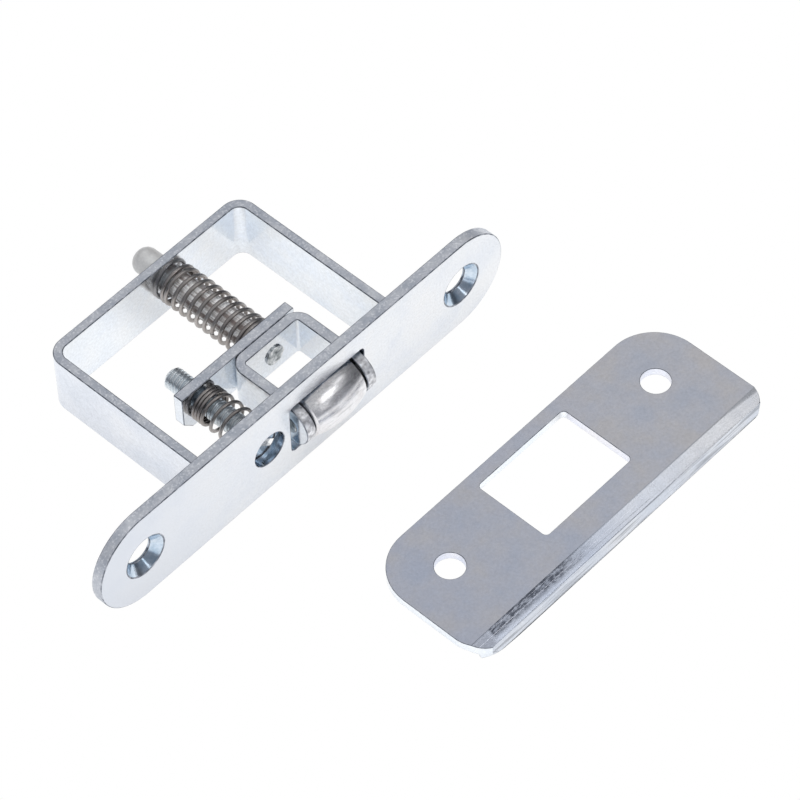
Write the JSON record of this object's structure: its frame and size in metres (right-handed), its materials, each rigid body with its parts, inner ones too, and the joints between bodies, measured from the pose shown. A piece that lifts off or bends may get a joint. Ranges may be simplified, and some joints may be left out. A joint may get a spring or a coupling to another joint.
{
  "type": "roller door catch",
  "caption": "Roller catch for a mortised door: a sprung crowned roller in a U-shaped strap frame behind a round-ended faceplate, with a lipped strike plate.",
  "frame": {"origin": "midway between the two countersunk screw holes, on the faceplate's back face, which seats in the door's edge", "axes": "+X along the faceplate, +Y into the door, +Z across the faceplate's width, up as the catch lies"},
  "size_m": [0.0998, 0.0901, 0.019],
  "materials": {
    "plated_plate": "bright zinc plated",
    "plated_strip": "bright zinc plated, matte cut edges",
    "plated_turned": "satin zinc plated",
    "roller_steel": "polished",
    "spring_steel": "oiled"
  },
  "bodies": {
    "housing": {"faceplate": "plated_plate", "frame_strap": "plated_strip", "strike_plate": "plated_plate", "main_spring": "spring_steel"},
    "adjuster": {"adjusting_spring": "spring_steel"},
    "screw": {"adjusting_screw": "plated_turned"},
    "carriage": {"carrier": "plated_strip", "roller_bracket": "plated_strip", "guide_pin": "plated_turned", "roller_axle": "plated_turned"},
    "roller": {"roller": "roller_steel"}
  },
  "joints": [
    {"name": "press", "type": "slide", "parent": "housing", "child": "adjuster", "axis": [0, 1, 0], "range_m": [0, 0.004], "stiffness_N_per_m": 1000, "springref_m": -0.004, "deforming": ["main_spring"]},
    {"name": "turn", "type": "hinge", "parent": "adjuster", "child": "screw", "pos_m": [-0.0083, 0.00005, 0], "axis": [0, 1, 0], "range_deg": [-360, 720]},
    {"name": "adjust", "type": "slide", "parent": "adjuster", "child": "carriage", "axis": [0, 1, 0], "range_m": [-0.0014, 0.0007], "deforming": ["adjusting_spring", "main_spring"]},
    {"name": "spin", "type": "hinge", "parent": "carriage", "child": "roller", "pos_m": [0.00505, -0.0008, 0], "axis": [1, 0, 0], "continuous": true}
  ],
  "couplings": [
    {"joint": "turn", "follows": "adjust", "rad_per_m": -8975.9}
  ]
}
